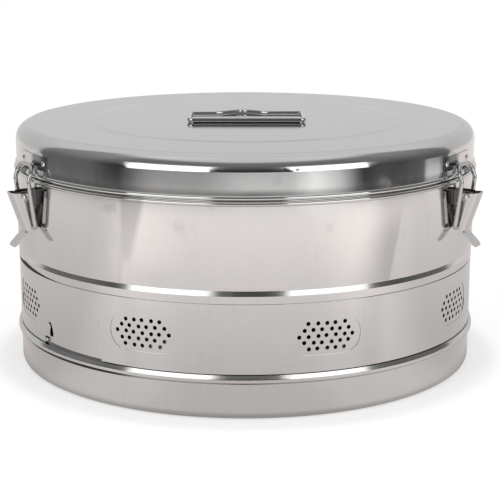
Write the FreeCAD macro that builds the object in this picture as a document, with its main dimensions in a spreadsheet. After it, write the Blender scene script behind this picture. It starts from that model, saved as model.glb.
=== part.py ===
import FreeCAD
import Part
import Sketcher
import math
import os
import re

# A round stainless-steel sterilization drum with a lift-off lid. Millimetres, +Z up, the origin on the
# drum's axis at the surface it stands on, the front towards -Y. The latches stand at 60 degrees left and
# right of the front, and at the back.

SIZES = {
    # Sheet metal and fits
    "sheet_gauge": 0.8,
    "fit_gap": 0.05,
    "run_gap": 0.08,
    "latch_play": 0.4,
    # Body wall, on whose radius the others depend
    "wall_radius": 185.6,
    "wall_height": 61.0,
    "bead_foot_height": 2.3,
    "bead_foot_round": 0.5,
    "bead_bulge": 1.8,
    "lower_bead_height": 5.8,
    "bead_round": 1.3,
    "bead_slope": 0.3,
    "bead_ledge": 0.6,
    "shoulder_height": 5.6,
    "shoulder_bulge": 0.3,
    "swage_height": 4.1,
    "swage_depth": 1.25,
    "swage_lip": 0.3,
    "rim_bead_height": 3.5,
    "rim_bead_bulge": 1.7,
    "neck_height": 20.0,
    "neck_gap": 0.8,
    # Base pan
    "base_inset": 0.7,
    "base_height": 28.0,
    "base_corner": 5.6,
    "foot_width": 12.0,
    "floor_groove": 9.0,
    "floor_rise": 1.4,
    "pan_lap": 18.0,
    "pan_gap": 0.2,
    "seam_gap": 0.4,
    # Vent band
    "band_inset": 0.6,
    "band_height": 51.8,
    "band_play": 0.4,
    "band_gap": 0.5,
    "vent_count": 8,
    "vent_pitch": 42.4,
    "vent_phase": -2.6,
    "vent_level": 26.6,
    "vent_width": 54.0,
    "vent_height": 28.5,
    "vent_corner": 13.0,
    "vent_press": 0.4,
    "vent_backing": 1.0,
    "hole_diameter": 3.3,
    "hole_pitch": 6.9,
    "hole_row": 4.7,
    "hole_stray": 0.45,
    "hole_flats": 8,
    # Band stop
    "stop_azimuth": -55.6,
    "stop_diameter": 3.2,
    "stop_level": 2.8,
    "stop_crown": 0.7,
    "notch_height": 5.8,
    "band_travel": 20.0,
    "slit_azimuth": 2.6,
    "slit_height": 12.0,
    "slit_width": 5.0,
    "slit_hook": 3.4,
    "slit_backing": 1.2,
    # Band joint
    "strap_width": 26.0,
    "strap_height": 44.0,
    "rivet_shank": 2.4,
    "rivet_head": 4.6,
    "rivet_crown": 1.1,
    "rivet_tail": 0.4,
    "band_joint": 1.0,
    # Lid
    "lid_inset": 0.4,
    "lid_gap": 0.5,
    "lid_bead_height": 3.5,
    "lid_bead_bulge": 3.1,
    "lid_skirt": 16.75,
    "lid_corner": 11.7,
    "lid_step": 0.5,
    "step_radius": 122.5,
    "step_width": 6.0,
    # Lid handle
    "wire_gauge": 3.7,
    "loop_width": 91.5,
    "loop_depth": 44.0,
    "loop_corner": 2.6,
    "loop_skew": 2.5,
    "bow_depth": 13.5,
    "bow_half": 19.0,
    "bow_aside": 3.4,
    "handle_front": 26.7,
    "handle_aside": 1.1,
    "handle_dip": 0.5,
    "strap_rivet_span": 52.0,
    "strap_gauge": 0.5,
    "strap_flange": 13.0,
    # Latches
    "latch_azimuth": 60.0,
    "pivot_reach": 10.6,
    "pivot_drop": 12.8,
    "pin_diameter": 4.0,
    "pin_head": 7.2,
    "pin_crown": 1.15,
    "ear_radius": 4.6,
    "ear_play": 1.4,
    "bracket_drop": 7.0,
    "lever_width": 16.0,
    "lever_gauge": 1.0,
    "lever_lean": 19.0,
    "lever_reach": 8.1,
    "lever_head": 6.8,
    "lever_tail": 26.9,
    "lever_corner": 6.2,
    "lever_margin": 1.3,
    "lever_tab_angle": 44.0,
    "tab_width": 13.0,
    "tab_length": 13.5,
    # Bails
    "bail_gauge": 3.3,
    "bail_half": 13.2,
    "bail_inset": 6.2,
    "bail_fall": 23.2,
    "bail_knee": 4.2,
    "bail_knee_drop": 11.5,
    "bail_crown": 8.0,
    "hook_inset": 5.6,
    "hook_rise": 24.2,
    # Lid catches
    "catch_width": 9.0,
    "catch_plate": 46.0,
    "catch_height": 11.0,
    "catch_lift": 2.0,
    "catch_slope": 28.0,
    "catch_curl": 2.2,
    "catch_sweep": 95.0,
    "hook_play": 0.15,
    "catch_rivet": 19.0,
}

doc = FreeCAD.newDocument("SterilizationDrum")
sheet = doc.addObject("Spreadsheet::Sheet", "Sizes")
for row, (alias, amount) in enumerate(SIZES.items(), start=1):
    sheet.set(f"A{row}", alias)
    sheet.set(f"B{row}", str(amount))
    sheet.setAlias(f"B{row}", alias)
doc.recompute()

# The azimuth, counted from the front towards +X, of the plane that each latch is drawn in
LATCH_PLANE = 90

finished = []
UP = FreeCAD.Vector(0, 0, 1)
ALONG_Y = FreeCAD.Vector(0, 1, 0)


# Formulas over the sheet's aliases

def bound(formula):
    """A formula as an expression, with each alias named on its sheet."""
    return re.sub(r"[a-z]+(?:_[a-z]+)+", lambda word: "Sizes." + word.group(), str(formula))


def number(formula):
    """The value of a formula now."""
    return float(sheet.evalExpression(bound(formula)))


def vector(x, y, z):
    return FreeCAD.Vector(number(x), number(y), number(z))


# Radii and heights that several pieces share
BASE_RADIUS = "(wall_radius - base_inset)"
BAND_RADIUS = "(wall_radius - band_inset)"
LID_RADIUS = "(wall_radius - lid_inset)"
BEAD_FOOT = "(base_height + seam_gap)"
GROOVE_FLOOR = f"({BEAD_FOOT} + lower_bead_height)"
GROOVE_TOP = f"({GROOVE_FLOOR} + band_height + 2 * band_play)"
SHOULDER_TOP = f"({GROOVE_TOP} + shoulder_height)"
WALL_FOOT = f"({SHOULDER_TOP} + swage_height)"
RIM_FOOT = f"({WALL_FOOT} + wall_height)"
RIM_TOP = f"({RIM_FOOT} + rim_bead_height)"
NECK_RADIUS = f"({LID_RADIUS} - sheet_gauge - neck_gap)"
GROOVE_RADIUS = f"({BAND_RADIUS} - sheet_gauge - vent_press - band_gap)"
BORE_RADIUS = f"({GROOVE_RADIUS} - sheet_gauge)"
LID_FOOT = f"({RIM_TOP} + lid_gap)"
SKIRT_FOOT = f"({LID_FOOT} + lid_bead_height)"
SKIRT_TOP = f"({SKIRT_FOOT} + lid_skirt)"
LID_EDGE = f"({SKIRT_TOP} + lid_corner)"
LID_TOP = f"({LID_EDGE} + lid_step)"
BAND_FOOT = f"({GROOVE_FLOOR} + band_play)"
BAND_TOP = f"({BAND_FOOT} + band_height)"
BAND_BORE = f"({BAND_RADIUS} - sheet_gauge)"
VENT_LEVEL = f"({BAND_FOOT} + vent_level)"
PIVOT_X = "(wall_radius + pivot_reach)"
PIVOT_Z = f"({RIM_TOP} - pivot_drop)"


# Placements

def turned_to(azimuth, x="0", y="0", z="0"):
    """A place on the latch plane at an azimuth, which counts from the front towards +X."""
    turn = FreeCAD.Rotation(UP, azimuth - LATCH_PLANE)
    return FreeCAD.Placement(turn.multVec(vector(x, y, z)), turn)


# Sketches and bodies

def origin_plane(body, role):
    return next(item for item in body.Origin.OriginFeatures if item.Role == role)


def profile_sketch(body, outline, role="XZ_Plane"):
    """A closed sketch with every corner held by its two formulas.

    A corner is (across, up), and (across, up, radius, side) where an arc of that radius leads on
    to the next corner, bulging to the right of its way for side 1 and to the left for side -1.
    """
    sketch = body.newObject("Sketcher::SketchObject", "Outline")
    sketch.AttachmentSupport = [(origin_plane(body, role), "")]
    sketch.MapMode = "FlatFace"
    corners = [FreeCAD.Vector(number(corner[0]), number(corner[1]), 0) for corner in outline]
    for index, corner in enumerate(outline):
        start = corners[index]
        end = corners[(index + 1) % len(corners)]
        if len(corner) == 4:
            reach = end - start
            half = reach.Length / 2
            radius = max(number(corner[2]), half)
            sagitta = radius - math.sqrt(max(radius * radius - half * half, 0))
            side = FreeCAD.Vector(reach.y, -reach.x, 0).normalize() * corner[3]
            edge = Part.Arc(start, (start + end) / 2 + side * sagitta, end)
        else:
            edge = Part.LineSegment(start, end)
        sketch.addGeometry(edge, False)
    first_end = []
    for index, corner in enumerate(corners):
        begins = sketch.getPoint(index, 1).distanceToPoint(corner) < 1e-6
        first_end.append(1 if begins else 2)
    for index in range(len(outline)):
        following = (index + 1) % len(outline)
        at_start = first_end[index]
        at_end = 3 - at_start
        start_there = first_end[following]
        sketch.addConstraint(Sketcher.Constraint("Coincident", index, at_end, following, start_there))
        for kind, formula, amount, axis in (
            ("DistanceX", outline[index][0], corners[index].x, -2),
            ("DistanceY", outline[index][1], corners[index].y, -1),
        ):
            if formula == "0":
                sketch.addConstraint(Sketcher.Constraint("PointOnObject", index, at_start, axis))
                continue
            held = sketch.addConstraint(Sketcher.Constraint(kind, -1, 1, index, at_start, amount))
            sketch.setExpression(f"Constraints[{held}]", bound(formula))
    return sketch


def turned_body(label, outline):
    """A body turned about Z from an outline of (radius, height) corners."""
    body = doc.addObject("PartDesign::Body", label)
    sketch = profile_sketch(body, outline)
    turn = body.newObject("PartDesign::Revolution", "Turn")
    turn.Profile = sketch
    turn.ReferenceAxis = (sketch, ["V_Axis"])
    turn.Angle = 360
    return body


def plate_body(label, outline, width):
    """A body of one outline in the latch plane, padded evenly to both sides of it."""
    body = doc.addObject("PartDesign::Body", label)
    sketch = profile_sketch(body, outline)
    pad = body.newObject("PartDesign::Pad", "Pad")
    pad.Profile = sketch
    pad.SideType = "Symmetric"
    pad.setExpression("Length", bound(width))
    return body


def cylinder(radius, height, place):
    """A round cutter or rod whose sizes follow the sheet."""
    rod = doc.addObject("Part::Cylinder", "Rod")
    rod.setExpression("Radius", bound(radius))
    rod.setExpression("Height", bound(height))
    rod.Placement = place
    return rod


def fixed_shape(label, shape, place=None):
    """A shape that was worked out from the sheet's values."""
    item = doc.addObject("Part::Feature", label)
    item.Shape = shape
    if place:
        item.Placement = place
    return item


def punched(label, blank, tools):
    """The blank with every tool cut out of it."""
    cutter = doc.addObject("Part::Compound", label + "_tools")
    cutter.Links = tools
    cut = doc.addObject("Part::Cut", label)
    cut.Base = blank
    cut.Tool = cutter
    return cut


def finish(item, label, place=None):
    """Name a finished sub-part and set it in its place."""
    item.Label = label
    if place:
        item.Placement = place
    finished.append(item)
    return item


# Plain shapes worked out from the sheet

def ring(inner, outer, low, high):
    """A tube section between two radii and two heights."""
    height = number(high) - number(low)
    foot = FreeCAD.Vector(0, 0, number(low))
    body = Part.makeCylinder(number(outer), height, foot)
    return body.cut(Part.makeCylinder(number(inner), height, foot))


def wall_segment(inner, outer, low, high, first, last):
    """A curved piece of wall between two radii, two heights and two azimuths."""
    height = number(high) - number(low)
    foot = FreeCAD.Vector(0, 0, number(low))
    wedge = Part.makeCylinder(number(outer), height, foot, UP, last - first)
    wedge = wedge.cut(Part.makeCylinder(number(inner), height, foot))
    wedge.rotate(FreeCAD.Vector(), UP, first - LATCH_PLANE)
    return wedge


def wall_prism(points, azimuth, inner, outer):
    """An outline on the wall, as a prism along the radius at its azimuth."""
    middle = math.radians(azimuth)
    out = FreeCAD.Vector(math.sin(middle), -math.cos(middle), 0)
    side = FreeCAD.Vector(math.cos(middle), math.sin(middle), 0)
    corners = [out * inner + side * along + UP * height for along, height in points]
    return Part.Face(Part.makePolygon(corners + corners[:1])).extrude(out * (outer - inner))


def rounded_outline(width, height, corner, level, steps=4):
    """A rectangle with rounded corners, as points about (0, level)."""
    points = []
    for quarter in range(4):
        sign_x = 1 if quarter in (0, 3) else -1
        sign_z = 1 if quarter in (0, 1) else -1
        centre_x = sign_x * (width / 2 - corner)
        centre_z = level + sign_z * (height / 2 - corner)
        for step in range(steps + 1):
            angle = math.pi / 2 * (quarter + step / steps)
            points.append((centre_x + corner * math.cos(angle), centre_z + corner * math.sin(angle)))
    return points


def rod_path(points, radii, closed=False):
    """Straight runs joined by tangent arcs, one radius for each inner corner."""
    count = len(points)
    inner = range(count) if closed else range(1, count - 1)
    arcs = {}
    for index, radius in zip(inner, radii):
        here = points[index]
        back = (points[index - 1] - here).normalize()
        ahead = (points[(index + 1) % count] - here).normalize()
        half = back.getAngle(ahead) / 2
        cut = radius / math.tan(half)
        middle = (back + ahead).normalize() * (radius / math.sin(half) - radius)
        arcs[index] = (here + back * cut, here + middle, here + ahead * cut)
    edges = []
    for index in range(count if closed else count - 1):
        following = (index + 1) % count
        start = arcs[index][2] if index in arcs else points[index]
        end = arcs[following][0] if following in arcs else points[following]
        edges.append(Part.LineSegment(start, end).toShape())
        if following in arcs:
            edges.append(Part.Arc(*arcs[following]).toShape())
    return Part.Wire(edges)


def rod_along(path, diameter):
    """A round rod swept along a path of runs and arcs."""
    first = path.OrderedEdges[0]
    start = first.valueAt(first.FirstParameter)
    ring_wire = Part.Wire(Part.makeCircle(diameter / 2, start, first.tangentAt(first.FirstParameter)))
    solid = path.makePipeShell([ring_wire], True, False)
    return solid.reversed() if solid.Volume < 0 else solid


# Rivets and pins

def outward(azimuth, radius, height, along="0"):
    """A place on the wall whose own +Z axis points outward."""
    place = turned_to(azimuth, radius, along, height)
    place.Rotation = place.Rotation.multiply(FreeCAD.Rotation(ALONG_Y, 90))
    return place


def crown_radius(width, rise):
    """Radius of the dome that rises over a head of that width."""
    return f"(({width}) * ({width}) / (8 * ({rise})) + ({rise}) / 2)"


def rivet(label, place, grip, head="rivet_head", crown="rivet_crown"):
    """A domed rivet: its head stands on the foot of its own +Z axis, its shank fills the grip below."""
    shank = "(rivet_shank / 2 - fit_gap)"
    tail_foot = f"(0 - {grip} - fit_gap - rivet_tail)"
    tail_top = f"(0 - {grip} - fit_gap)"
    body = turned_body(label, [
        ("0", tail_foot),
        (f"{head} / 2 - rivet_tail", tail_foot),
        (f"{head} / 2 - rivet_tail", tail_top),
        (shank, tail_top),
        (shank, "fit_gap"),
        (f"{head} / 2", "fit_gap", crown_radius(head, f"({crown} - fit_gap)"), 1),
        ("0", crown),
    ])
    return finish(body, label, place)


def rivet_hole(place, depth="8"):
    """A cutter for a rivet's shank, centred on its place."""
    middle = place.copy()
    middle.Base = place.Base - place.Rotation.multVec(UP) * (number(depth) / 2)
    return cylinder("rivet_shank / 2", depth, middle)


# Base and wall

def make_base():
    """A pan with a flat bottom, a stiffening groove pressed up near its edge, and a rounded foot."""
    radius, corner = BASE_RADIUS, "base_corner"
    inner = f"({BASE_RADIUS} - sheet_gauge)"
    foot = f"({BASE_RADIUS} - base_corner)"
    groove_outer = f"({foot} - foot_width)"
    groove_inner = f"({groove_outer} - floor_groove)"
    slack = "sheet_gauge / 2"
    return turned_body("drum_base", [
        ("0", "0"),
        (groove_inner, "0"),
        (f"{groove_inner} + floor_rise", "floor_rise"),
        (f"{groove_outer} - floor_rise", "floor_rise"),
        (groove_outer, "0"),
        (foot, "0", corner, 1),
        (radius, corner),
        (radius, "base_height"),
        (inner, "base_height"),
        (inner, corner, f"{corner} - sheet_gauge", -1),
        (foot, "sheet_gauge"),
        (f"{groove_outer} + {slack}", "sheet_gauge"),
        (f"{groove_outer} - floor_rise + {slack}", "floor_rise + sheet_gauge"),
        (f"{groove_inner} + floor_rise - {slack}", "floor_rise + sheet_gauge"),
        (f"{groove_inner} - {slack}", "sheet_gauge"),
        ("0", "sheet_gauge"),
    ])


def bead(radius, height, bulge, side):
    """A corner whose arc swells by a bulge over the height of a rolled bead."""
    return (radius[0], radius[1], f"(({height}) * ({height}) / (8 * ({bulge})) + ({bulge}) / 2)", side)


def make_shell():
    lap = f"({BASE_RADIUS} - sheet_gauge - pan_gap)"
    wall = "wall_radius"
    foot = "(base_height - pan_lap)"
    nose = "(wall_radius + bead_bulge)"
    ledge = "(wall_radius + bead_ledge)"
    shoulder = f"({BAND_RADIUS} + shoulder_bulge)"
    wall_bore = "(wall_radius - sheet_gauge)"
    neck_bore = f"({NECK_RADIUS} - sheet_gauge)"
    neck_top = f"({RIM_TOP} + neck_height)"
    blank = turned_body("shell_blank", [
        (BORE_RADIUS, foot),
        (lap, foot),
        (lap, BEAD_FOOT),
        (f"{nose} - bead_foot_round", BEAD_FOOT),
        (nose, f"{BEAD_FOOT} + bead_foot_round"),
        (nose, f"{BEAD_FOOT} + bead_foot_height", "3 * bead_round", 1),
        (f"{nose} - bead_slope", f"{BEAD_FOOT} + bead_foot_height + bead_round"),
        (ledge, GROOVE_FLOOR),
        (GROOVE_RADIUS, GROOVE_FLOOR),
        (GROOVE_RADIUS, GROOVE_TOP),
        (shoulder, GROOVE_TOP),
        (shoulder, SHOULDER_TOP),
        (f"{wall} - swage_depth", f"{WALL_FOOT} + swage_lip"),
        (wall, WALL_FOOT),
        bead((wall, RIM_FOOT), "rim_bead_height", "rim_bead_bulge", 1),
        (wall, RIM_TOP),
        (NECK_RADIUS, RIM_TOP),
        (NECK_RADIUS, neck_top),
        (neck_bore, neck_top),
        (neck_bore, f"{RIM_TOP} - sheet_gauge"),
        (wall_bore, RIM_FOOT),
        (wall_bore, f"{WALL_FOOT} + swage_lip + swage_depth"),
        (BORE_RADIUS, f"{WALL_FOOT} + swage_lip"),
    ])
    # One opening behind each window of the band, and one behind its slit, let the steam through
    width = number("6 * hole_pitch + hole_diameter + 2 * vent_backing")
    height = number("4 * hole_row + hole_diameter + 2 * vent_backing")
    outline = rounded_outline(width, height, height * 0.4, number(VENT_LEVEL))
    bore = number(f"{BORE_RADIUS} - 4 * sheet_gauge")
    groove = number(f"{GROOVE_RADIUS} + 4 * sheet_gauge")
    openings = [wall_prism(outline, azimuth, bore, groove) for azimuth in vent_azimuths()]
    openings.append(wall_prism(slit_backing(), number("stop_azimuth + slit_azimuth"), bore, groove))
    tools = [
        fixed_shape("shell_openings", Part.makeCompound(openings)),
        rivet_hole(STUD_PLACE),
    ]
    return punched("drum_shell", blank, tools)


# Vent band

def vent_azimuths():
    first = number("vent_phase - (vent_count - 1) / 2 * vent_pitch")
    return [first + number("vent_pitch") * index for index in range(int(number("vent_count")))]


def hole_cutters(window, azimuth):
    """The holes of one window, in rows of 5, 6, 7, 6 and 5, each punched with flat sides.

    They stray a little from their rows, as if punched by hand.
    """
    radius = number(BAND_RADIUS)
    flats = int(number("hole_flats"))
    reach = number("hole_diameter") / 2
    stray = number("hole_stray")
    spokes = [math.pi * (2 * flat + 1) / flats for flat in range(flats)]
    cutters = []
    for row, holes in zip((2, 1, 0, -1, -2), (5, 6, 7, 6, 5)):
        for column in range(holes):
            mark = 40 * window + 7 * row + column
            level = number(VENT_LEVEL) + row * number("hole_row") + stray / 2 * math.sin(5.1 * mark)
            along = (column - (holes - 1) / 2) * number("hole_pitch") + stray * math.sin(2.3 * mark)
            turn = azimuth + math.degrees(along / radius)
            outline = [(reach * math.cos(spoke), level + reach * math.sin(spoke)) for spoke in spokes]
            cutters.append(wall_prism(outline, turn, *BAND_DEPTH))
    return cutters


def slit_outline():
    """The hooked slit beside the stop, as (distance along the wall, height)."""
    foot = number(f"{BAND_FOOT} + notch_height - sheet_gauge")
    top = foot + number("slit_height")
    half = number("slit_width") / 2
    hook = number("slit_hook")
    waist = foot + (top - foot) * 0.4
    return [
        (-half, foot), (half, foot), (half, waist), (half * 0.6, foot + (top - foot) * 0.7), (0, top),
        (-half * 0.7, top + hook / 4), (-half - hook / 2, top + hook / 4), (-half - hook / 2, top - hook / 8),
        (-half * 0.7, top - hook * 0.35), (-half * 0.6, top - hook), (-half, waist),
    ]


def slit_backing():
    """The opening in the drum behind the slit, clear of the notch below it."""
    margin = number("slit_backing")
    corners = slit_outline()
    foot = number(f"{BAND_FOOT} + notch_height + band_play")
    left, right = min(x for x, z in corners) - margin, max(x for x, z in corners) + margin
    top = max(z for x, z in corners) + margin
    return [(left, foot), (right, foot), (right, top), (left, top)]


def band_window(window, azimuth):
    """The stretch of the band around one window, with its shallow panel pressed in and punched."""
    half = number("vent_pitch") / 2
    stretch = wall_segment(BAND_BORE, BAND_RADIUS, BAND_FOOT, BAND_TOP, azimuth - half, azimuth + half)
    outline = rounded_outline(
        number("vent_width"), number("vent_height"), number("vent_corner"), number(VENT_LEVEL))
    panel = wall_prism(outline, azimuth, *BAND_DEPTH)
    dish = ring(f"{BAND_RADIUS} - vent_press", f"{BAND_RADIUS} + sheet_gauge", BAND_FOOT, BAND_TOP)
    lining = ring(f"{BAND_BORE} - vent_press", BAND_BORE, BAND_FOOT, BAND_TOP)
    pressed, raised = panel.common(dish), panel.common(lining)
    return stretch.cut(pressed).fuse(raised).cut(Part.makeCompound(hole_cutters(window, azimuth)))


def make_band():
    """A rolled hoop whose ends all but meet at the back, with a notch over the stop's travel."""
    radius = number(BAND_RADIUS)
    half = number("vent_pitch") / 2
    joint = math.degrees(number("band_joint / 2") / radius)
    pad = math.degrees(number("stop_diameter / 2 + latch_play") / radius)
    stop = number("stop_azimuth")
    middles = vent_azimuths()
    stretches = [band_window(window, azimuth) for window, azimuth in enumerate(middles)]
    ends = [(JOINT_AZIMUTH - 360 + joint, middles[0] - half), (middles[-1] + half, JOINT_AZIMUTH - joint)]
    stretches += [wall_segment(BAND_BORE, BAND_RADIUS, BAND_FOOT, BAND_TOP, *end) for end in ends]
    band = stretches[0].multiFuse(stretches[1:])
    cuts = [
        wall_segment(f"{BAND_BORE} - 4 * sheet_gauge", f"{BAND_RADIUS} + 4 * sheet_gauge",
                     f"{BAND_FOOT} - sheet_gauge", f"{BAND_FOOT} + notch_height",
                     stop - pad, stop + number("band_travel") + pad),
        wall_prism(slit_outline(), stop + number("slit_azimuth"), *BAND_DEPTH),
    ]
    blank = fixed_shape("band_blank", band.cut(Part.makeCompound(cuts)).removeSplitter())
    return punched("vent_band", blank, [rivet_hole(place) for place in BAND_RIVETS])


def make_band_strap():
    middle = number(f"({BAND_FOOT} + {BAND_TOP}) / 2")
    half_turn = math.degrees(number(f"strap_width / 2 / {BAND_RADIUS}"))
    shape = wall_segment(
        f"{BAND_RADIUS} + fit_gap", f"{BAND_RADIUS} + fit_gap + sheet_gauge",
        f"{middle} - strap_height / 2", f"{middle} + strap_height / 2",
        JOINT_AZIMUTH - half_turn, JOINT_AZIMUTH + half_turn)
    blank = fixed_shape("strap_blank", shape)
    return punched("band_strap", blank, [rivet_hole(place) for place in BAND_RIVETS])


# Lid and its handle

def make_lid():
    inner = f"({LID_RADIUS} - sheet_gauge)"
    under = f"({LID_EDGE} - sheet_gauge)"
    corner = f"({LID_RADIUS} - lid_corner)"
    blank = turned_body("lid_blank", [
        ("0", LID_TOP),
        ("step_radius", LID_TOP),
        ("step_radius + step_width", LID_EDGE),
        (corner, LID_EDGE, "lid_corner", -1),
        (LID_RADIUS, SKIRT_TOP),
        bead((LID_RADIUS, SKIRT_FOOT), "lid_bead_height", "lid_bead_bulge", -1),
        (LID_RADIUS, LID_FOOT),
        (inner, LID_FOOT),
        (inner, SKIRT_TOP, "(lid_corner - sheet_gauge)", 1),
        (corner, under),
        ("step_radius + step_width - sheet_gauge / 2", under),
        ("step_radius - sheet_gauge / 2", f"{LID_TOP} - sheet_gauge"),
        ("0", f"{LID_TOP} - sheet_gauge"),
    ])
    places = [place for azimuth in LATCHES for place in catch_rivets(azimuth)] + STRAP_RIVETS
    return punched("lid_shell", blank, [rivet_hole(place) for place in places])


def make_handle_strap():
    """A strip rolled round the pivot bar, with its flange flat on the lid behind the bar."""
    outer = number(STRAP_RADIUS)
    half = number("loop_width / 2 - loop_corner - latch_play")
    pivot = HANDLE_PIVOT.Base - FreeCAD.Vector(half, 0, 0)
    across = FreeCAD.Vector(1, 0, 0)
    tube = Part.makeCylinder(outer, 2 * half, pivot, across)
    foot = FreeCAD.Vector(pivot.x, pivot.y, number(LID_TOP))
    flange = Part.makeBox(2 * half, number("strap_flange"), number("strap_gauge"), foot)
    bore = Part.makeCylinder(outer - number("strap_gauge"), 2 * half, pivot, across)
    blank = fixed_shape("handle_strap_blank", tube.fuse(flange).cut(bore).removeSplitter())
    return punched("handle_strap", blank, [rivet_hole(place) for place in STRAP_RIVETS])


def make_handle():
    """A closed wire loop that lies back from its pivot bar, its grip slightly askew with a shallow bow."""
    side = number("loop_width") / 2
    depth = number("loop_depth")
    bow, aside = number("bow_half"), number("bow_aside")
    corner = number("loop_corner")
    lean = number("loop_skew") / side
    points = [FreeCAD.Vector(-side, 0, 0), FreeCAD.Vector(side, 0, 0)]
    for x, rise in ((side, 0), (bow - aside, 0), (-aside, number("bow_depth")), (-bow - aside, 0), (-side, 0)):
        points.append(FreeCAD.Vector(x, depth + lean * x + rise, 0))
    path = rod_path(points, [corner, corner, corner, 5 * corner, 3 * corner, 5 * corner, corner], closed=True)
    return fixed_shape("lid_handle", rod_along(path, number("wire_gauge")))


# Latches, each drawn in its own plane: x outward from the drum's axis, z up

def make_bracket(label):
    wall = "(wall_radius + fit_gap)"
    face = f"({wall} + sheet_gauge)"
    ear = "(lever_width / 2 - lever_gauge - ear_play)"
    blank = plate_body(label + "_blank", [
        (wall, f"{PIVOT_Z} - bracket_drop"),
        (face, f"{PIVOT_Z} - bracket_drop"),
        (PIVOT_X, f"{PIVOT_Z} - ear_radius", "ear_radius", 1),
        (PIVOT_X, f"{PIVOT_Z} + ear_radius"),
        (face, f"{PIVOT_Z} + ear_radius"),
        (wall, f"{PIVOT_Z} + ear_radius"),
    ], f"2 * {ear}")
    hollow = doc.addObject("Part::Box", "Hollow")
    hollow.setExpression("Length", bound("pivot_reach + ear_radius + 5"))
    hollow.setExpression("Width", bound(f"2 * ({ear} - sheet_gauge)"))
    hollow.setExpression("Height", bound("2 * bracket_drop + 8"))
    hollow.Placement = FreeCAD.Placement(
        vector(face, f"sheet_gauge - {ear}", f"{PIVOT_Z} - bracket_drop - 2"), FreeCAD.Rotation())
    return punched(label, blank, [hollow, cross_hole(PIVOT_X, PIVOT_Z, "pin_diameter / 2 + fit_gap")])


def cross_hole(x, z, radius):
    """A cutter across the latch plane."""
    half = number("lever_width")
    turn = FreeCAD.Rotation(FreeCAD.Vector(1, 0, 0), -90)
    return cylinder(radius, "2 * lever_width", FreeCAD.Placement(vector(x, -half, z), turn))


def make_pin(label):
    """The pivot pin, domed at both ends, along its own Z axis from one crown to the other."""
    shank = "(pin_diameter / 2)"
    dome = crown_radius("pin_head", "pin_crown")
    neck = "(pin_crown + lever_width + 4 * fit_gap)"
    return turned_body(label, [
        ("0", "0", dome, 1),
        ("pin_head / 2", "pin_crown"),
        (shank, "pin_crown"),
        (shank, neck),
        ("pin_head / 2", neck, dome, 1),
        ("0", f"{neck} + pin_crown"),
    ])


def latch_point(x, z):
    return FreeCAD.Vector(x, 0, z)


def pad_outline(points, half):
    """A side outline in the latch plane, padded to both sides of it."""
    corners = [point - ALONG_Y * half for point in points]
    return Part.Face(Part.makePolygon(corners + corners[:1])).extrude(ALONG_Y * (2 * half))


def round_long_edges(solid, way, near, radius):
    """Round the edges that run along a way through the neighbourhood of a line."""
    chosen = []
    for edge in solid.Edges:
        run = edge.valueAt(edge.LastParameter) - edge.valueAt(edge.FirstParameter)
        if run.Length > 1 and run.getAngle(way) % math.pi < 0.01 or \
                run.Length > 1 and math.pi - run.getAngle(way) < 0.01:
            middle = edge.valueAt((edge.FirstParameter + edge.LastParameter) / 2)
            if abs((middle - near).dot(ALONG_Y.cross(way))) < 0.01:
                chosen.append(edge)
    return solid.makeFillet(radius, chosen)


def make_lever():
    """A channel with its web outward and deep flanges, ending in a finger tab turned outward."""
    gauge = number("lever_gauge")
    half = number("lever_width") / 2
    lean = math.radians(number("lever_lean"))
    along = latch_point(math.sin(lean), math.cos(lean))
    out = latch_point(math.cos(lean), -math.sin(lean))
    pivot = latch_point(number(PIVOT_X), number(PIVOT_Z))
    web = pivot + out * number("lever_reach")
    head = web + along * number("lever_head")
    tail = web - along * number("lever_tail")
    edge_gap = number("bail_gauge") / 2 + number("lever_margin")
    inner_head = latch_point(pivot.x - number("pin_diameter"), head.z - gauge)
    hole = latch_point(pivot.x - number("bail_inset"), pivot.z - number("bail_fall"))
    inner_tail = hole + latch_point(-edge_gap, -edge_gap * 0.6)
    corner = number("lever_corner")
    outer = pad_outline([head, tail, inner_tail, inner_head], half)
    outer = round_long_edges(outer, along, web, corner)
    inner_web = web - out * gauge
    open_ends = [
        head - out * gauge + along * 3, tail - out * gauge - along * 3,
        inner_tail + latch_point(-6, -6), inner_head + latch_point(-6, 6),
    ]
    hollow = pad_outline(open_ends, half - gauge)
    hollow = round_long_edges(hollow, along, inner_web, corner - gauge)
    turn = math.radians(-number("lever_tab_angle"))
    tab_way = latch_point(math.cos(turn), math.sin(turn))
    tab_face = latch_point(-math.sin(turn), math.cos(turn))
    tip = tail + tab_way * number("tab_length")
    tab = pad_outline([
        tail + along * gauge, tail, tip, tip - tab_face * gauge,
        tail - out * gauge - along * gauge * 0.7, tail - out * gauge + along * gauge,
    ], number("tab_width") / 2)
    tip_edges = [
        edge for edge in tab.Edges
        if abs(edge.Length - gauge) < 1e-6 and (edge.CenterOfMass - tip).Length < number("tab_width")
        and abs((edge.CenterOfMass - tip).dot(tab_way)) < 1e-6
    ]
    tab = tab.makeFillet(number("tab_width") * 0.28, tip_edges)
    return outer.cut(hollow).fuse(tab).removeSplitter()


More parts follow.
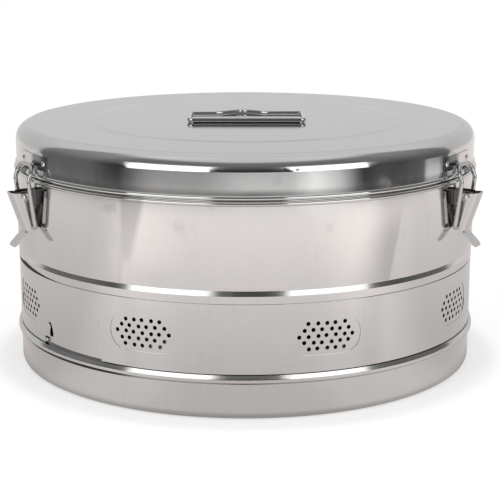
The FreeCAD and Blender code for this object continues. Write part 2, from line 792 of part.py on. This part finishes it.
def make_bail():
    """A bent wire: its ends turn in through the lever's flanges, its legs bow out past the lid's bead."""
    pivot_x, pivot_z = number(PIVOT_X), number(PIVOT_Z)
    half = number("bail_half")
    end = number("lever_width / 2 - lever_gauge") - 0.8
    foot_x, foot_z = pivot_x - number("bail_inset"), pivot_z - number("bail_fall")
    hook_x, hook_z = pivot_x - number("hook_inset"), pivot_z + number("hook_rise")
    knee_x, knee_z = hook_x + number("bail_knee"), hook_z - number("bail_knee_drop")
    side = [(foot_x, end, foot_z), (foot_x, half, foot_z), (knee_x, half, knee_z), (hook_x, half, hook_z)]
    points = [FreeCAD.Vector(x, -y, z) for x, y, z in side] + [FreeCAD.Vector(*spot) for spot in side[::-1]]
    gauge = number("bail_gauge")
    crown = number("bail_crown")
    radii = [gauge * 0.8, gauge * 3, crown, crown, gauge * 3, gauge * 0.8]
    return rod_along(rod_path(points, radii), gauge)


def hook_point():
    return latch_point(number(PIVOT_X) - number("hook_inset"), number(PIVOT_Z) + number("hook_rise"))


def catch_rivets(azimuth):
    """The places of one catch's two rivets, on the outside of its plate."""
    turn = math.degrees(number(f"catch_rivet / {LID_RADIUS}"))
    face = f"{LID_RADIUS} + fit_gap + sheet_gauge"
    height = f"{PIVOT_Z} + hook_rise + catch_lift"
    return [outward(azimuth + sign * turn, face, height) for sign in (-1, 1)]


def make_catch(label):
    """A plate riveted to the skirt, with a tongue that slopes out under the bail and curls down."""
    hook = hook_point()
    slope = math.radians(number("catch_slope"))
    way = latch_point(math.cos(slope), -math.sin(slope))
    face = latch_point(math.sin(slope), math.cos(slope))
    gauge = number("sheet_gauge")
    seat = hook - face * (number("bail_gauge") / 2 + number("hook_play"))
    plate_inner = number(f"{LID_RADIUS} + fit_gap")
    root = seat - way * ((seat.x - plate_inner - gauge / 2) / way.x)
    nose = seat + way * number("bail_gauge")
    curl = number("catch_curl")
    centre = nose - face * curl
    turns = [math.radians(number("catch_sweep")) * part for part in (0.5, 1)]

    def on_curl(radius, turn):
        spoke = face * math.cos(turn) + way * math.sin(turn)
        return centre + spoke * radius

    outer_arc = Part.Arc(nose, on_curl(curl, turns[0]), on_curl(curl, turns[1]))
    small = curl - gauge
    inner_arc = Part.Arc(on_curl(small, turns[1]), on_curl(small, turns[0]), on_curl(small, 0))
    edges = [
        Part.LineSegment(root, nose).toShape(), outer_arc.toShape(),
        Part.LineSegment(on_curl(curl, turns[1]), on_curl(small, turns[1])).toShape(), inner_arc.toShape(),
        Part.LineSegment(on_curl(small, 0), root - face * gauge).toShape(),
        Part.LineSegment(root - face * gauge, root).toShape(),
    ]
    half = number("catch_width") / 2
    outline = Part.Face(Part.Wire(edges))
    outline.translate(ALONG_Y * -half)
    tongue = outline.extrude(ALONG_Y * (2 * half))
    half_turn = math.degrees(number(f"catch_plate / 2 / {LID_RADIUS}"))
    foot = f"({PIVOT_Z} + hook_rise + catch_lift - catch_height / 2)"
    plate = wall_segment(
        f"{LID_RADIUS} + fit_gap", f"{LID_RADIUS} + fit_gap + sheet_gauge",
        foot, f"{foot} + catch_height", LATCH_PLANE - half_turn, LATCH_PLANE + half_turn)
    blank = fixed_shape(label + "_blank", plate.fuse(tongue).removeSplitter())
    return punched(label, blank, [rivet_hole(place) for place in catch_rivets(LATCH_PLANE)])


LATCHES = [-number("latch_azimuth"), number("latch_azimuth"), 180]
JOINT_AZIMUTH = number("vent_phase") + 180
BAND_DEPTH = number(f"{BAND_RADIUS} - 6 * sheet_gauge"), number(f"{BAND_RADIUS} + 3 * sheet_gauge")
STUD_PLACE = outward(number("stop_azimuth"), GROOVE_RADIUS, f"{BAND_FOOT} + stop_level")
STRAP_RADIUS = "(wire_gauge / 2 + run_gap + strap_gauge)"
HANDLE_PIVOT = FreeCAD.Placement(
    vector("handle_aside", "0 - handle_front", f"{LID_TOP} + {STRAP_RADIUS}"),
    FreeCAD.Rotation(FreeCAD.Vector(1, 0, 0), -number("handle_dip")))
STRAP_RIVETS = [
    FreeCAD.Placement(
        vector(f"handle_aside + {side} * strap_rivet_span / 2", "strap_flange * 0.64 - handle_front",
               f"{LID_TOP} + strap_gauge"), FreeCAD.Rotation())
    for side in (-1, 1)
]
BAND_RIVETS = [
    outward(JOINT_AZIMUTH + sign * math.degrees(number(f"strap_width * 0.3 / {BAND_RADIUS}")),
            f"{BAND_RADIUS} + fit_gap + sheet_gauge",
            f"({BAND_FOOT} + {BAND_TOP}) / 2 + {level} * strap_height / 3")
    for sign in (-1, 1) for level in (-1, 1)
]

finish(make_base(), "drum_base")
finish(make_shell(), "drum_shell")
rivet("stop_stud", STUD_PLACE, "sheet_gauge", "stop_diameter",
      f"({BAND_RADIUS} + stop_crown - {GROOVE_RADIUS})")

finish(make_band(), "vent_band")
finish(make_band_strap(), "band_strap")
for count, place in enumerate(BAND_RIVETS, start=1):
    rivet(f"band_rivet_{count}", place, "(2 * sheet_gauge + fit_gap)")

finish(make_lid(), "lid_shell")
finish(make_handle_strap(), "handle_strap")
for count, place in enumerate(STRAP_RIVETS, start=1):
    rivet(f"strap_rivet_{count}", place, "(strap_gauge + sheet_gauge)")
finish(make_handle(), "lid_handle", HANDLE_PIVOT)

for count, azimuth in enumerate(LATCHES, start=1):
    place = turned_to(azimuth)
    finish(make_bracket(f"latch_bracket_{count}"), f"latch_bracket_{count}", place)
    across = FreeCAD.Placement(
        vector(PIVOT_X, "0 - lever_width / 2 - pin_crown - 2 * fit_gap", PIVOT_Z),
        FreeCAD.Rotation(FreeCAD.Vector(1, 0, 0), -90))
    finish(make_pin(f"latch_pin_{count}"), f"latch_pin_{count}", place.multiply(across))
    lever_blank = fixed_shape(f"lever_blank_{count}", make_lever())
    lever = punched(f"latch_lever_{count}", lever_blank, [
        cross_hole(PIVOT_X, PIVOT_Z, "pin_diameter / 2 + run_gap"),
        cross_hole(f"{PIVOT_X} - bail_inset", f"{PIVOT_Z} - bail_fall", "bail_gauge / 2 + run_gap"),
    ])
    finish(lever, f"latch_lever_{count}", place)
    finish(fixed_shape(f"latch_bail_{count}", make_bail()), f"latch_bail_{count}", place)
    finish(make_catch(f"lid_catch_{count}"), f"lid_catch_{count}", place)
    for letter, rivet_place in zip("ab", catch_rivets(azimuth)):
        rivet(f"catch_rivet_{count}{letter}", rivet_place, "(2 * sheet_gauge + fit_gap)")

doc.recompute()
failed = [item.Label for item in doc.Objects if {"Invalid", "Error"} & set(item.State)]
if failed:
    raise SystemExit("these objects failed: " + ", ".join(failed))

os.makedirs("parts", exist_ok=True)
for item in finished:
    if item.Shape.isNull() or not item.Shape.isValid():
        raise SystemExit(f"{item.Label} has no valid shape")
    item.Shape.exportStep(os.path.join("parts", item.Label + ".step"))
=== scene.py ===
import math

import bpy
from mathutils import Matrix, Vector

# A steel sterilization drum on a white table. Metres, +Z up, the front towards -Y.
#
# Azimuths are degrees from the front, below 0 to the left. Heights are above the table, and
# distances are from the drum's axis. In the numbers that describe marks and light:
# a step says where it starts and where it is full,
# a spot says its middle, half its width and its soft edge,
# a list of steps or spots says the strength of each as well,
# a rise says where it starts and where it ends, and its value before and after,
# an edge says its azimuth at one height, that height, and its lean in degrees per metre.

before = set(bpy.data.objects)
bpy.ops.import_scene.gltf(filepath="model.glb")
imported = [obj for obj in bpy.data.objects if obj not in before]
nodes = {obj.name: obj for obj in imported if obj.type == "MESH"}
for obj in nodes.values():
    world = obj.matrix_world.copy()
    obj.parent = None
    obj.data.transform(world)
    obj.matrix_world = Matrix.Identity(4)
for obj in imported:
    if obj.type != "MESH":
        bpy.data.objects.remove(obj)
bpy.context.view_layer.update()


# Shader maths

TO_DEGREES = 180 / math.pi
NEUTRAL = (1, 1, 1)


class Shade:
    """One output in a node tree. Arithmetic on it adds the nodes that work it out."""

    def __init__(self, tree, output=None):
        self.tree = tree
        self.output = output

    def node(self, kind, inputs=(), output=0, **settings):
        """Any other node: its settings are made first, then its sockets are set or linked."""
        made = self.tree.nodes.new("ShaderNode" + kind)
        for name, setting in settings.items():
            setattr(made, name, setting)
        for name, given in dict(inputs).items():
            if isinstance(given, Shade):
                self.tree.links.new(given.output, made.inputs[name])
            else:
                made.inputs[name].default_value = given
        return Shade(self.tree, made.outputs[output] if made.outputs else None)

    def maths(self, operation, *values):
        return self.node("Math", enumerate(values), operation=operation)

    def __add__(self, other):
        return self.maths("ADD", self, other)

    def __radd__(self, other):
        return self.maths("ADD", other, self)

    def __sub__(self, other):
        return self.maths("SUBTRACT", self, other)

    def __rsub__(self, other):
        return self.maths("SUBTRACT", other, self)

    def __mul__(self, other):
        return self.maths("MULTIPLY", self, other)

    def __rmul__(self, other):
        return self.maths("MULTIPLY", other, self)

    def __pow__(self, other):
        return self.maths("POWER", self, other)

    def __abs__(self):
        return self.maths("ABSOLUTE", self)

    def eased(self, low, high):
        """0 on low's side and 1 on high's, with a soft step between. Low may be the higher."""
        limits = {"Value": self, "From Min": low, "From Max": high}
        return self.node("MapRange", limits, interpolation_type="SMOOTHSTEP")

    def around(self, middle, half, soft):
        """1 within half of the middle, falling to 0 over a soft edge."""
        return abs(self - middle).eased(half + soft / 2, half - soft / 2)

    def rising(self, low, high, before, after):
        """A value before low and another after high, with a soft step between."""
        return before + self.eased(low, high) * (after - before)

    def steps(self, places, start=0):
        """The start with the strengths of soft steps added to it."""
        return sum((self.eased(*place) * strength for *place, strength in places), start)

    def spots(self, places, start=0):
        """The start with the strengths of soft spots added to it."""
        return sum((self.around(*place) * strength for *place, strength in places), start)

    def noise(self, size, detail=2.0, rough=0.5):
        """Noise over this vector, from 0 to 1, whose patches are about size metres wide."""
        limits = {"Vector": self, "Scale": 1 / size, "Detail": detail, "Roughness": rough}
        return self.node("TexNoise", limits)

    def scaled(self, x, y, z):
        return self.node("VectorMath", {0: self, 1: (x, y, z)}, operation="MULTIPLY")

    def axes(self):
        """The X, Y and Z of this vector."""
        return [self.node("SeparateXYZ", {0: self}, output=axis) for axis in "XYZ"]

    def tinted(self, tint):
        """A colour of this brightness, with the tint's red, green and blue."""
        return self.node("CombineColor", enumerate(self * share for share in tint))


def maximum(first, second):
    return first.maths("MAXIMUM", first, second)


def tree_of(owner):
    """A cleared node tree, ready for new nodes."""
    owner.use_nodes = True
    owner.node_tree.nodes.clear()
    return Shade(owner.node_tree)


def front_azimuth(x, y):
    return x.maths("ARCTAN2", x, 0 - y) * TO_DEGREES


def position(tree):
    """A place on the drum, with its azimuth, its height and its distance from the axis."""
    place = tree.node("TexCoord", output="Object")
    x, y, z = place.axes()
    return place, front_azimuth(x, y), z, (x * x + y * y) ** 0.5


def leaning(height, azimuth, foot, lean):
    """The azimuth that a leaning edge has at each height."""
    return azimuth + (height - foot) * lean


# The pattern of polished sheet. A width is that of one mark, a range is where the noise starts to
# show as a mark and where the mark is full, and a roughness is what the mark adds.

STREAK_WIDTH = 0.004
STREAK_ROUGHNESS = 0.04
SCRATCH_WIDTH = 0.0011
SCRATCH_STRETCH = 4
SCRATCH_RANGE = (0.63, 0.72)
SCRATCH_SHADE = 0.8
SCRATCH_PROFILE = 2e-7
CLOUD_WIDTH = 0.05
CLOUD_ROUGHNESS = 0.06
SMUDGE_WIDTH = 0.022
SMUDGE_RANGE = (0.56, 0.75)
SMUDGE_SHADE = 0.012
SMUDGE_ROUGHNESS = 0.05
HOLLOW_WIDTH = 0.06
RIPPLE_WIDTH = 0.009
RIPPLE_DEPTH = 0.06
GAP_STEP = (0.97, 0.88)
GAP_ROUGHNESS = 0.8
STEEL_TINT = (1, 1, 0.99)


def steel(name, level=0.6, rough=0.16, wave=0.0, along=0.12, patches=0.04, grain=0.03, marks=None,
          dull=()):
    """Polished stainless steel. Wave is the depth in metres of the hollows left by rolling it.

    Along shrinks the pattern's upright axis, which draws the streaks out. Patches and grain are
    how far the clouds and the streaks change the tone. Marks takes the azimuth, height and
    distance, and gives what darkens the sheet there, real marks and painted shade alike, and a
    further profile for the surface. Near full dark the place is a gap's painted shadow, which
    doesn't mirror. Dull is the spots of height where the sheet is rougher.
    """
    material = bpy.data.materials.new(name)
    tree = tree_of(material)
    place, azimuth, height, distance = position(tree)
    drawn = place.scaled(1, 1, along)
    streaks = drawn.noise(STREAK_WIDTH, detail=3.0) - 0.5
    fine = place.scaled(1, 1, along / SCRATCH_STRETCH).noise(SCRATCH_WIDTH)
    scratches = fine.eased(*SCRATCH_RANGE)
    cloud = place.noise(CLOUD_WIDTH, detail=3.0) - 0.5
    smudges = place.noise(SMUDGE_WIDTH, detail=4.0, rough=0.6).eased(*SMUDGE_RANGE)
    tone = level + streaks * grain + cloud * patches
    tone = tone - scratches * grain * SCRATCH_SHADE - smudges * SMUDGE_SHADE
    surface = drawn.noise(HOLLOW_WIDTH, detail=1.0) * wave
    surface = surface + drawn.noise(RIPPLE_WIDTH) * (wave * RIPPLE_DEPTH)
    surface = surface + scratches * SCRATCH_PROFILE
    metal = 1.0
    if marks:
        shade, profile = marks(azimuth, height, distance)
        # Painted shade: near full strength it stops the sheet mirroring, for the painted shadow of
        # a gap.
        metal = shade.eased(*GAP_STEP)
        tone = tone * (1 - shade)
        surface = surface + profile
    roughness = rough + cloud * CLOUD_ROUGHNESS + streaks * STREAK_ROUGHNESS
    roughness = roughness + smudges * SMUDGE_ROUGHNESS + (1 - metal) * GAP_ROUGHNESS
    finish = {
        "Base Color": tone.tinted(STEEL_TINT),
        "Metallic": metal,
        "Roughness": roughness + height.spots(dull),
        "Normal": tree.node("Bump", {"Height": surface, "Distance": 1.0, "Strength": 1.0}),
    }
    shader = tree.node("BsdfPrincipled", finish)
    tree.node("OutputMaterial", {"Surface": shader})
    return material


# Marks on the wall: painted shade and a painted highlight in its reflections, painted shadow in
# its joint and gap, and the seam at the back.

LEFT_SHADE_WEDGE_START = (-29.4, -28.0)
LEFT_SHADE_WEDGE_EDGE = (-26.4, 0.114, 78)
LEFT_SHADE_WEDGE_SOFT = (1.0, -1.0)
LEFT_SHADE_WEDGE_FOOT = (0.108, 0.122)
LEFT_SHADE_WEDGE_RISE = (0.12, 0.15, 0.6, 1.0)
LEFT_SHADE_WEDGE_STRENGTH = 0.34
RIGHT_SHADE_WEDGE_EDGE = (35.2, 0.107, 72)
RIGHT_SHADE_WEDGE_SOFT = (0.5, -0.5)
RIGHT_SHADE_WEDGE_START = (25.0, 0.105, 150)
RIGHT_SHADE_WEDGE_FADE = (-3, 7)
RIGHT_SHADE_WEDGE_TOP = (0.158, 0.125)
RIGHT_SHADE_WEDGE_STRENGTH = 0.2
LEFT_DIM_START = (-39, -30)
LEFT_DIM_END = (-28.0, -29.4)
RIGHT_DIM = (34, 3, 7)
DIM_SHADE = 0.13
LOW_SHADE_SPOT = (-22, 5, 7)
LOW_SHADE_SPOT_TOP = (0.118, 0.102)
LOW_SHADE_SPOT_STRENGTH = 0.07
BRIGHT_STRIP = (-30.8, 1.2, 2)
BRIGHT_STRIP_HEIGHT = (0.113, 0.012, 0.012)
BRIGHT_STRIP_SHADE = 0.06
ABOVE_SHOULDER = (0.0966, 0.097)
SEAM = (179.2, 179.6)
SEAM_SHADE = 0.12
SEAM_PROFILE = 0.00015

# The joint above the base is open widest at the left. The gap under the shoulder over the vent band
# is open at the sides, and more so at the left. Both carry painted shadow, near black.

JOINT_HEIGHT = 0.0277
JOINT_EDGE = (0.0009, 0.0004)
JOINT_OPEN = (-50, 24, 30)
JOINT_OPEN_HALF = 0.0009
JOINT_SHADE = 0.42
JOINT_LEFT = [(-24, -31, 0.56)]
JOINT_FRONT = [(0, 5, 10, 0.4)]
SHOULDER_FACE = (0.1838, 0.1842)
SHOULDER_SIDES = (46, 52)
SHOULDER_FOOT = (0.0864, 0.0867)
SHOULDER_GAP_TOP = 0.0869
SHOULDER_GAP_TALLER = [(-68, 6, 30, 0.0046), (68, 8, 26, 0.0005)]
SHOULDER_GAP_EDGE = (-0.0001, 0.0002)
SHOULDER_GAP_SHADE = 0.97

# The rolled grooves above and below the vent band are less bright than the wall.

WALL_DULL = [(0.0945, 0.0024, 0.001, 0.07), (0.032, 0.0026, 0.001, 0.06)]


def wall_marks(azimuth, height, distance):
    """Painted shade and highlight for reflections, painted shadow in gaps, and the back seam."""
    # Painted shade: a leaning dark wedge at the left of the upper wall.
    left = azimuth.eased(*LEFT_SHADE_WEDGE_START)
    left = left * (azimuth - leaning(height, *LEFT_SHADE_WEDGE_EDGE)).eased(*LEFT_SHADE_WEDGE_SOFT)
    left = left * height.eased(*LEFT_SHADE_WEDGE_FOOT) * height.rising(*LEFT_SHADE_WEDGE_RISE)
    # Painted shade: a leaning dark wedge at the right of the upper wall.
    right = (azimuth - leaning(height, *RIGHT_SHADE_WEDGE_EDGE)).eased(*RIGHT_SHADE_WEDGE_SOFT)
    right = right * (azimuth - leaning(height, *RIGHT_SHADE_WEDGE_START)).eased(*RIGHT_SHADE_WEDGE_FADE)
    right = right * height.eased(*RIGHT_SHADE_WEDGE_TOP)
    # Painted shade dims the wall beside the left wedge and at the right.
    dim = azimuth.eased(*LEFT_DIM_END) * azimuth.eased(*LEFT_DIM_START)
    dim = dim + azimuth.around(*RIGHT_DIM)
    # Painted shade low on the upper wall, and a painted highlight in a narrow upright strip.
    low = azimuth.around(*LOW_SHADE_SPOT) * height.eased(*LOW_SHADE_SPOT_TOP)
    strip = azimuth.around(*BRIGHT_STRIP) * height.around(*BRIGHT_STRIP_HEIGHT)
    upper = left * LEFT_SHADE_WEDGE_STRENGTH + right * RIGHT_SHADE_WEDGE_STRENGTH + dim * DIM_SHADE
    upper = upper + low * LOW_SHADE_SPOT_STRENGTH - strip * BRIGHT_STRIP_SHADE
    seam = abs(azimuth).eased(*SEAM)
    # Painted shadow in the joint above the base, widest where it is open most.
    half_open = azimuth.around(*JOINT_OPEN) * JOINT_OPEN_HALF
    joint = (abs(height - JOINT_HEIGHT) - half_open).eased(*JOINT_EDGE)
    joint = joint * azimuth.spots(JOINT_FRONT, azimuth.steps(JOINT_LEFT, JOINT_SHADE))
    # Painted shadow in the gap under the shoulder, at the sides.
    shoulder = distance.eased(*SHOULDER_FACE) * abs(azimuth).eased(*SHOULDER_SIDES)
    shoulder = shoulder * height.eased(*SHOULDER_FOOT)
    gap_top = azimuth.spots(SHOULDER_GAP_TALLER, SHOULDER_GAP_TOP)
    gap = shoulder * (gap_top - height).eased(*SHOULDER_GAP_EDGE)
    shade = upper * height.eased(*ABOVE_SHOULDER) + seam * SEAM_SHADE + joint
    return maximum(shade, gap * SHOULDER_GAP_SHADE), seam * SEAM_PROFILE


# Marks on the lid: turned rings on its top, and painted shade along the front of an arc on its top
# and on the roll where its skirt meets its bead.
# Its edge is rougher than its top, where the press drew it.

LID_TOP = (0.1925, 0.1933)
RING_SCALE = 900.0
RING_SHADE = 0.05
RING_PROFILE = 1.5e-6
ROLL_TOP = (0.1708, 0.1656)
ROLL_FOOT = (0.1648, 0.1652)
ROLL_SHADE = 0.42
ROLL_FRONT = [(2, 4, 26, 0.4)]
ARC_DISTANCE = (0.1232, 0.0014, 0.0014)
ARC_FRONT = (0, 26, 10)
ARC_SHADE = 0.2
LID_DULL = [(0.1885, 0.005, 0.003, 0.06)]


def lid_marks(azimuth, height, distance):
    """Rings left by spinning the lid, and painted shade on a pressed arc and the skirt's roll."""
    top = height.eased(*LID_TOP)
    turning = {"W": distance, "Scale": RING_SCALE, "Detail": 2.0}
    rings = (azimuth.node("TexNoise", turning, noise_dimensions="1D") - 0.5) * top
    # Painted shade on the roll at the foot of the skirt, strongest in front.
    roll = height.eased(*ROLL_TOP) * height.eased(*ROLL_FOOT)
    # Painted shade along the front of the pressed arc.
    arc = distance.around(*ARC_DISTANCE) * azimuth.around(*ARC_FRONT) * top
    shade = rings * RING_SHADE + roll * azimuth.spots(ROLL_FRONT, ROLL_SHADE) + arc * ARC_SHADE
    return shade, rings * RING_PROFILE


# Painted shade on the vent band and on the lid's catches

BAND_SHADE_STRIPES = [(30, 3, 5, 0.1), (-27, 2, 3, 0.05)]
BAND_EDGE = (0.0858, 0.0862)
BAND_EDGE_SIDES = [(24, 32, 1), (46, 54, 1)]
BAND_EDGE_SHADE = 0.38
TONGUE = (0.1868, 0.1875)
TONGUE_SHADE = 0.7
PLATE_FRONT = (61.5, 58.5)
PLATE_SHADE = 0.62


def band_marks(azimuth, height, distance):
    """Two upright painted shade stripes; painted shoulder shadow on the upper edge at the sides."""
    edge = height.eased(*BAND_EDGE) * abs(azimuth).steps(BAND_EDGE_SIDES)
    return azimuth.spots(BAND_SHADE_STRIPES) + edge * BAND_EDGE_SHADE, 0.0


def catch_marks(azimuth, height, distance):
    """Painted shade: the tongue under the bail, and the plate's front half as dark as the skirt."""
    tongue = distance.eased(*TONGUE) * TONGUE_SHADE
    plate = abs(azimuth).eased(*PLATE_FRONT) * PLATE_SHADE
    return maximum(tongue, plate), 0.0


# The finish of each piece goes by what its name holds, and the others are pressed fittings.

wall_steel = steel("rolled_wall_steel", rough=0.1, wave=0.0004, marks=wall_marks, dull=WALL_DULL)
lid_steel = steel("spun_lid_steel", rough=0.08, wave=0.00015, patches=0.02, marks=lid_marks,
                  dull=LID_DULL)
band_steel = steel("punched_band_steel", rough=0.15, wave=0.0004, marks=band_marks)
fitting_steel = steel("pressed_fitting_steel", rough=0.18, wave=0.0001, along=0.5)
# The bracket's low level is painted shade, for its place in the latch lever's shadow.
bracket_steel = steel("dull_shade_darkened_bracket_steel", level=0.2, rough=0.3, patches=0.05)
bail_steel = steel("bent_bail_steel", level=0.5, rough=0.22, patches=0.02)
wire_steel = steel("bright_wire_steel", level=0.66, patches=0.02)
pin_steel = steel("turned_pin_steel", level=0.66, rough=0.34)
catch_steel = steel("riveted_catch_steel", rough=0.12, marks=catch_marks)

FINISHES = {
    "drum_": wall_steel,
    "vent_band": band_steel,
    "band_strap": band_steel,
    "lid_shell": lid_steel,
    "lid_handle": wire_steel,
    "lid_catch": catch_steel,
    "latch_bail": bail_steel,
    "latch_bracket": bracket_steel,
    "latch_pin": pin_steel,
}
for name, node in nodes.items():
    chosen = [finish for part, finish in FINISHES.items() if part in name]
    node.data.materials.clear()
    node.data.materials.append(chosen[0] if chosen else fitting_steel)


# The table. What the drum mirrors of it is painted into its glow: brighter away from the drum,
# with two painted pools of light in front, painted shade at the sides and painted shadow at the
# drum's foot. The white that the camera sees has a painted shadow ring round the foot. It ends in
# front, and goes on behind into a white sweep.

TABLE_HALF = 4.0
TABLE_WHITE = (0.9, 0.9, 0.9, 1)
TABLE_REACH = 0.97
TABLE_FADE = 0.03
FRONT_SWEEP = 118
SWEEP_SOFT = 0.5
TABLE_POOLS = [(-45, 10, 32, 0.19), (49, 12, 30, 0.23)]
TABLE_SIDES = [(-54, -72, 0.24), (60, 84, 0.17)]
TABLE_BACK = [(98, 130, 0.14)]
SIDES_RISE = (0.25, 0.75, 0.35, 1.0)
NEAR_STEP = (0.45, 0.25)
NEAR_POOLS = [(29, 6, 26, 0.17)]
NEAR_SHADE = 0.06
FOOT_RISE = (0.17, 0.205, 0.4, 1.0)
MIRRORED_RISE = (0.15, 1.1, 0.74, 1.36)
MIRRORED_TINT = (1.065, 1, 0.975)
MIRRORED_SHARE = 0.85
GLOW_RISE = (0.196, 0.218, 2.9, 3.7)
GLOW_SHARE = 0.15


def make_table():
    """A white surface, whose reflection fades towards the drum and past its front edge."""
    mesh = bpy.data.meshes.new("white_table")
    corners = [(x * TABLE_HALF, y * TABLE_HALF, 0) for x, y in ((-1, -1), (1, -1), (1, 1), (-1, 1))]
    mesh.from_pydata(corners, [], [(0, 1, 2, 3)])
    table = bpy.data.objects.new("white_table", mesh)
    bpy.context.scene.collection.objects.link(table)
    material = bpy.data.materials.new("table_white")
    tree = tree_of(material)
    _, azimuth, _, distance = position(tree)
    side = abs(azimuth)
    front = side.eased(FRONT_SWEEP + SWEEP_SOFT, FRONT_SWEEP - SWEEP_SOFT)
    beyond = distance.eased(TABLE_REACH, TABLE_REACH + TABLE_FADE) * front
    # Painted light and shade in what the drum mirrors: pools, darker sides, and shadow at the foot.
    near = distance.eased(*NEAR_STEP) * (side.spots(NEAR_POOLS) - NEAR_SHADE)
    pools = azimuth.spots(TABLE_POOLS) + near
    sides = azimuth.steps(TABLE_SIDES) + side.steps(TABLE_BACK)
    pattern = 1 + pools - sides * distance.rising(*SIDES_RISE)
    reflected = distance.rising(*MIRRORED_RISE) * pattern * distance.rising(*FOOT_RISE)
    matt = tree.node("BsdfDiffuse", {"Color": TABLE_WHITE})
    # Painted shadow: the camera's white glows less in a ring round the drum's foot.
    glow = tree.node("Emission", {"Color": distance.rising(*GLOW_RISE).tinted(NEUTRAL)})
    white = tree.node("MixShader", {0: GLOW_SHARE, 1: matt, 2: glow})
    bright = tree.node("Emission", {"Color": reflected.tinted(MIRRORED_TINT)})
    mirrored = tree.node("MixShader", {0: MIRRORED_SHARE, 1: matt, 2: bright})
    clear = tree.node("BsdfTransparent")
    shown = tree.node("MixShader", {0: beyond, 1: mirrored, 2: clear})
    glossy = tree.node("LightPath", output="Is Glossy Ray")
    surface = tree.node("MixShader", {0: glossy, 1: white, 2: shown})
    tree.node("OutputMaterial", {"Surface": surface})
    mesh.materials.append(material)


# The studio. A rise angle is in degrees above the horizon.

ROOM_DARK = 0.035
ROOM_RISE = [(-6, 50, 0.2), (50, 66, 0.6)]
ROOM_SIDES = [(-62, -84, 0.13), (54, 70, 0.05), (78, 96, 0.05)]
LOW_GLOWS = [(-8, 46, 26, 0.5), (14, 25, 26, 0.37), (40, 12, 16, 0.85), (104.5, 6.5, 4, 0.8)]
LOW_GLOW_TOP = (-9.2, -10)
SWEEP_RISE = (20, 45, 0.7, 0.85)
ROOM_FILL = 0.6
LAMP_TARGET = Vector((0, 0, 0.15))


def light_room():
    """White behind the drum, and a dim room in front with a pale glow low down.

    That is what the drum mirrors. The camera itself sees white all round.
    """
    world = bpy.data.worlds.new("studio")
    bpy.context.scene.world = world
    tree = tree_of(world)
    x, y, z = tree.node("TexCoord", output="Generated").axes()
    azimuth = front_azimuth(x, y)
    rise = z.maths("ARCSINE", z) * TO_DEGREES
    room = rise.steps(ROOM_RISE, ROOM_DARK) + azimuth.steps(ROOM_SIDES)
    room = room + azimuth.spots(LOW_GLOWS) * rise.eased(*LOW_GLOW_TOP)
    behind = abs(azimuth).eased(FRONT_SWEEP - SWEEP_SOFT, FRONT_SWEEP + SWEEP_SOFT)
    level = room + behind * (rise.rising(*SWEEP_RISE) - room)
    glossy = tree.node("LightPath", output="Is Glossy Ray")
    camera = tree.node("LightPath", output="Is Camera Ray")
    seen = ROOM_FILL + glossy * (level - ROOM_FILL)
    seen = seen + camera * (1 - seen)
    shader = tree.node("Background", {"Color": seen.tinted(NEUTRAL), "Strength": 1.0})
    tree.node("OutputWorld", {"Surface": shader})


def softbox(name, azimuth, rise, distance, width, height, radiance):
    """A square lamp aimed at the drum."""
    lamp = bpy.data.lights.new(name, "AREA")
    lamp.shape = "RECTANGLE"
    lamp.size = width
    lamp.size_y = height
    lamp.energy = radiance * math.pi * width * height
    turn = math.radians(azimuth)
    lift = math.radians(rise)
    out = math.cos(lift)
    way = Vector((math.sin(turn) * out, -math.cos(turn) * out, math.sin(lift)))
    holder = bpy.data.objects.new(name, lamp)
    holder.location = LAMP_TARGET + way * distance
    holder.rotation_euler = way.to_track_quat("Z", "Y").to_euler()
    bpy.context.scene.collection.objects.link(holder)


def set_camera(place, tilt):
    """The photograph's camera, fitted to the drum's rings. Tilt is degrees below level."""
    lens = bpy.data.cameras.new("camera")
    lens.sensor_width = 36
    lens.lens = 107.3
    lens.shift_x = 0.0097
    camera = bpy.data.objects.new("camera", lens)
    camera.location = place
    camera.rotation_euler = (math.radians(90 - tilt), 0, 0)
    bpy.context.scene.collection.objects.link(camera)
    bpy.context.scene.camera = camera


make_table()
light_room()
softbox("left_softbox", azimuth=-35.4, rise=11.5, distance=1.7, width=1.22, height=0.84,
        radiance=2.0)
softbox("right_softbox", azimuth=38.6, rise=10, distance=1.7, width=1.2, height=0.74, radiance=2.0)
set_camera(place=(0, -1.2057, 0.3637), tilt=13.08)
bpy.context.scene.view_settings.view_transform = "Standard"
